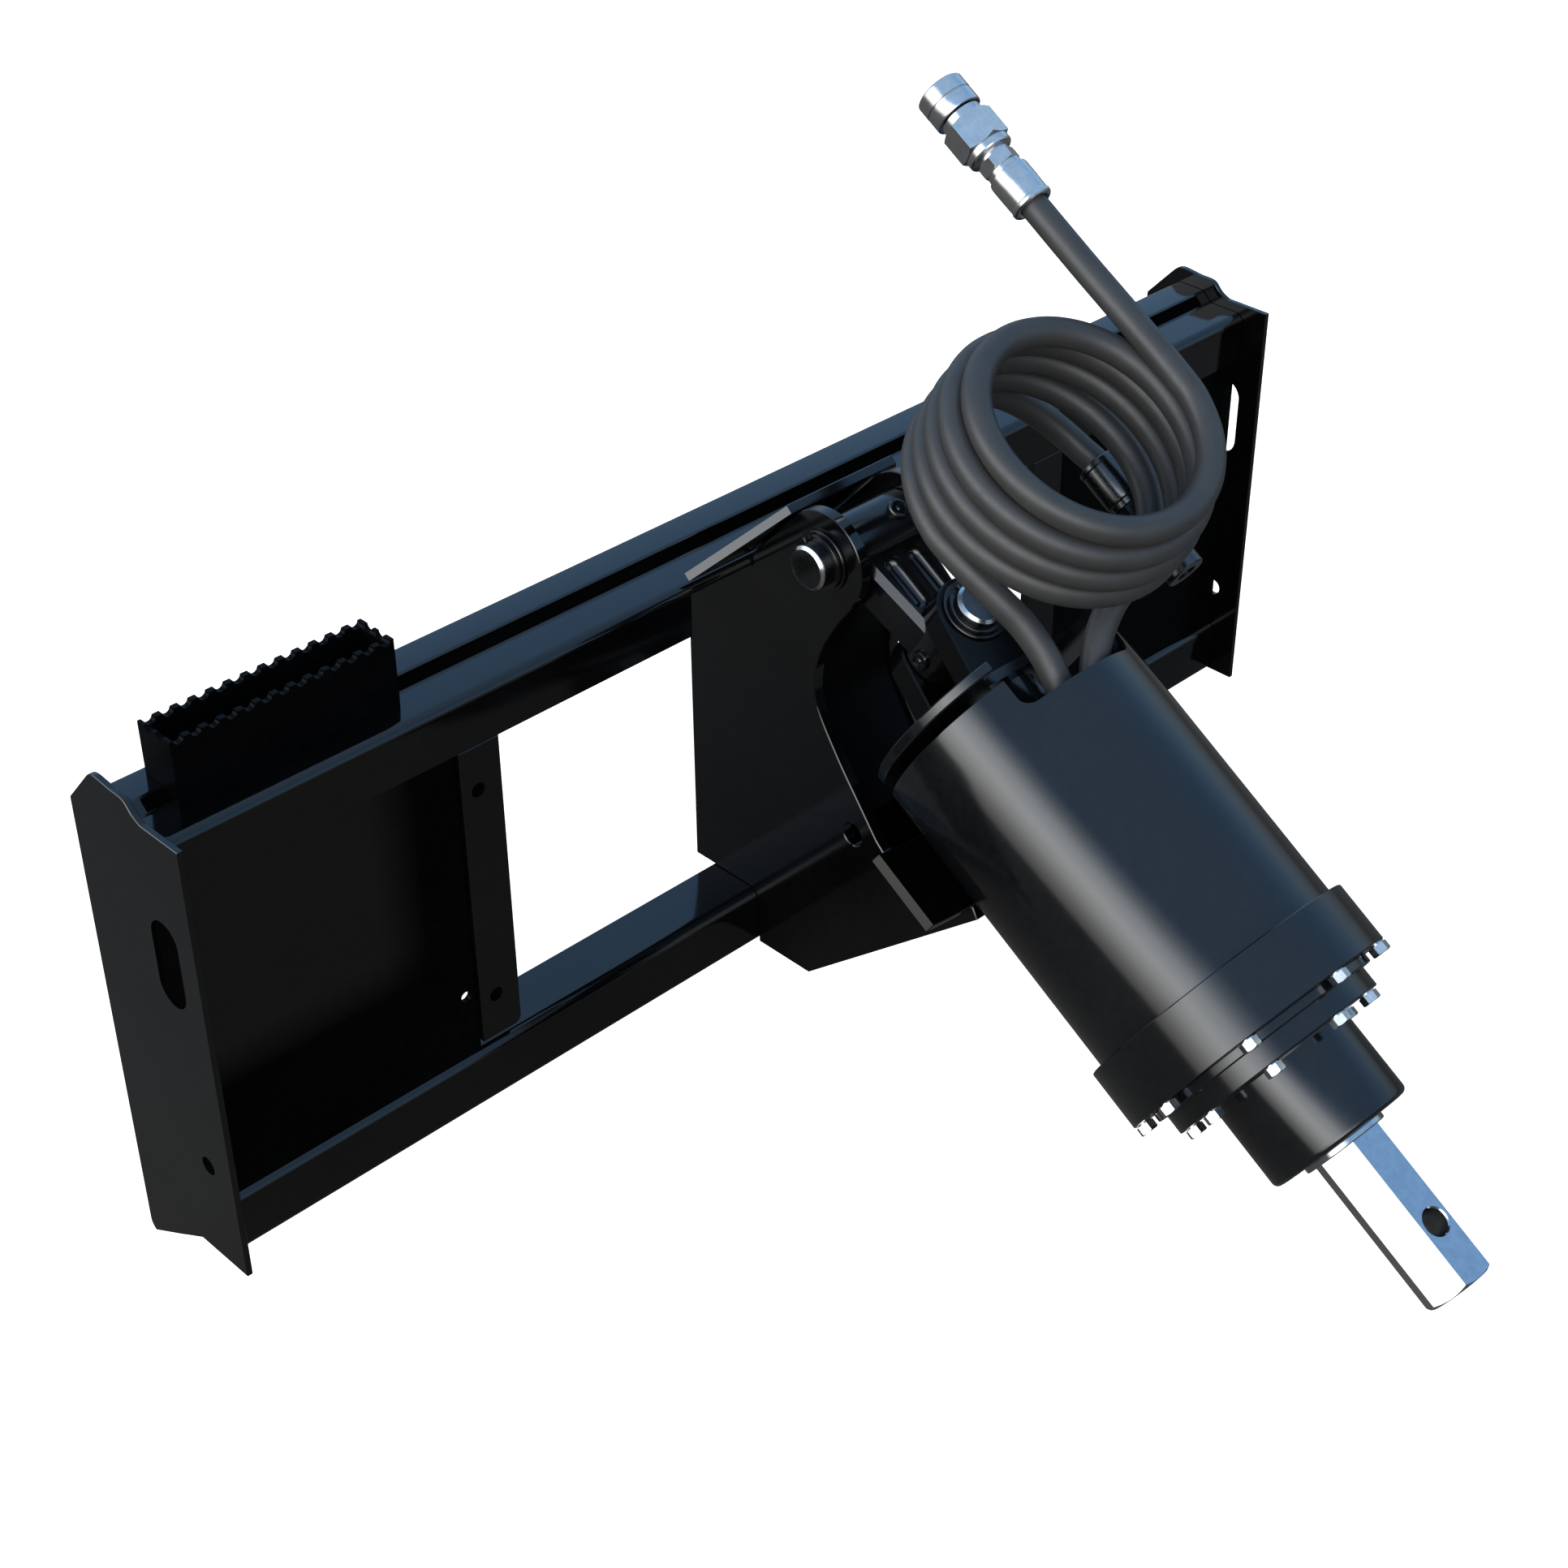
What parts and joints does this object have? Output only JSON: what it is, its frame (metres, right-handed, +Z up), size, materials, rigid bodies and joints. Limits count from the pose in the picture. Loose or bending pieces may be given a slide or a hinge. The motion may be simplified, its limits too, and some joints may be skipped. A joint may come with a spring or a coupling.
{
  "type": "earth auger drive",
  "caption": "Hydraulic planetary earth auger drive on a swing hitch and quick-attach loader frame, with a hexagon output shaft, cradle and coiled hoses.",
  "frame": {"origin": "centre of the hook under the top beam's crest, where the loader's coupler plate bears", "axes": "+X along the frame to the right seen from the auger, +Y back to the loader, +Z up"},
  "size_m": [1.145, 0.7828, 0.7444],
  "materials": {
    "frame_paint": "satin black paint on plate",
    "drive_paint": "gloss black paint on turned steel",
    "cast_paint": "black painted casting",
    "plated_steel": "bright zinc plate",
    "ground_steel": "ground bare steel",
    "gear_steel": "cut gear steel, oiled",
    "hose_rubber": "matte dark grey hose cover",
    "seal_rubber": "matte black seal"
  },
  "bodies": {
    "frame": {"side_plate_left": "frame_paint", "side_plate_right": "frame_paint", "top_beam": "frame_paint", "bottom_beam": "frame_paint", "face_plate_left": "frame_paint", "face_plate_right": "frame_paint", "window_strap_left": "frame_paint", "window_strap_right": "frame_paint", "hitch_cheek_left": "frame_paint", "hitch_cheek_right": "frame_paint", "hitch_web": "frame_paint", "cradle_saddle": "frame_paint", "hitch_cap_plate": "frame_paint", "step_tread": "frame_paint", "hitch_pin": "plated_steel", "hitch_ring_left": "plated_steel", "hitch_ring_right": "plated_steel"},
    "knuckle": {"knuckle": "cast_paint"},
    "drive": {"ear_front": "cast_paint", "ear_rear": "cast_paint", "ear_pin": "plated_steel", "ear_ring_front": "plated_steel", "ear_ring_rear": "plated_steel", "head_plate": "drive_paint", "hood": "drive_paint", "motor_body": "cast_paint", "port_block": "plated_steel", "gear_housing": "drive_paint", "output_housing": "drive_paint", "shaft_bearing": "ground_steel", "shaft_seal": "seal_rubber", "flange_bolt_1": "plated_steel", "flange_bolt_2": "plated_steel", "flange_bolt_3": "plated_steel", "flange_bolt_4": "plated_steel", "flange_bolt_5": "plated_steel", "flange_bolt_6": "plated_steel", "flange_bolt_7": "plated_steel", "flange_bolt_8": "plated_steel", "nose_bolt_1": "plated_steel", "nose_bolt_2": "plated_steel", "nose_bolt_3": "plated_steel", "nose_bolt_4": "plated_steel", "nose_bolt_5": "plated_steel", "nose_bolt_6": "plated_steel", "nose_bolt_7": "plated_steel", "nose_bolt_8": "plated_steel", "hose_a_lead": "hose_rubber", "hose_b_lead": "hose_rubber", "hose_coil": "hose_rubber", "hose_a_free_end": "hose_rubber", "hose_b_tail": "hose_rubber", "coupler_body": "plated_steel", "coupler_b": "plated_steel"},
    "output": {"output_shaft": "ground_steel"},
    "motor_rotor": {"sun_shaft": "gear_steel"},
    "planet_1": {"planet_gear_1": "gear_steel"},
    "planet_2": {"planet_gear_2": "gear_steel"},
    "planet_3": {"planet_gear_3": "gear_steel"},
    "coupler_collar": {"coupler_sleeve": "plated_steel"}
  },
  "joints": [
    {"name": "hitch_swing", "type": "hinge", "parent": "frame", "child": "knuckle", "pos_m": [0.0105, -0.136, 0.0235], "axis": [-1, 0, 0], "range_deg": [0, 45]},
    {"name": "side_swing", "type": "hinge", "parent": "knuckle", "child": "drive", "pos_m": [0.0105, -0.22196, -0.03048], "axis": [0, -0.5318, 0.8468], "range_deg": [-10, 10]},
    {"name": "output_turn", "type": "hinge", "parent": "drive", "child": "output", "pos_m": [0.0105, -0.64411, -0.29561], "axis": [0, -0.8468, -0.5318], "continuous": true},
    {"name": "motor_turn", "type": "hinge", "parent": "drive", "child": "motor_rotor", "pos_m": [0.0105, -0.50861, -0.21051], "axis": [0, -0.8468, -0.5318], "continuous": true},
    {"name": "planet_1_turn", "type": "hinge", "parent": "output", "child": "planet_1", "pos_m": [0.0573, -0.51031, -0.21157], "axis": [0, -0.8468, -0.5318], "continuous": true},
    {"name": "planet_2_turn", "type": "hinge", "parent": "output", "child": "planet_2", "pos_m": [-0.0129, -0.53186, -0.17725], "axis": [0, -0.8468, -0.5318], "continuous": true},
    {"name": "planet_3_turn", "type": "hinge", "parent": "output", "child": "planet_3", "pos_m": [-0.0129, -0.48875, -0.2459], "axis": [0, -0.8468, -0.5318], "continuous": true},
    {"name": "coupler_release", "type": "slide", "parent": "drive", "child": "coupler_collar", "axis": [0, -0.8468, -0.5318], "range_m": [0, 0.006], "stiffness_N_per_m": 1500}
  ],
  "couplings": [
    {"joint": "motor_turn", "follows": "output_turn", "ratio": 6},
    {"joint": "planet_1_turn", "follows": "output_turn", "ratio": -2.5},
    {"joint": "planet_2_turn", "follows": "output_turn", "ratio": -2.5},
    {"joint": "planet_3_turn", "follows": "output_turn", "ratio": -2.5}
  ]
}
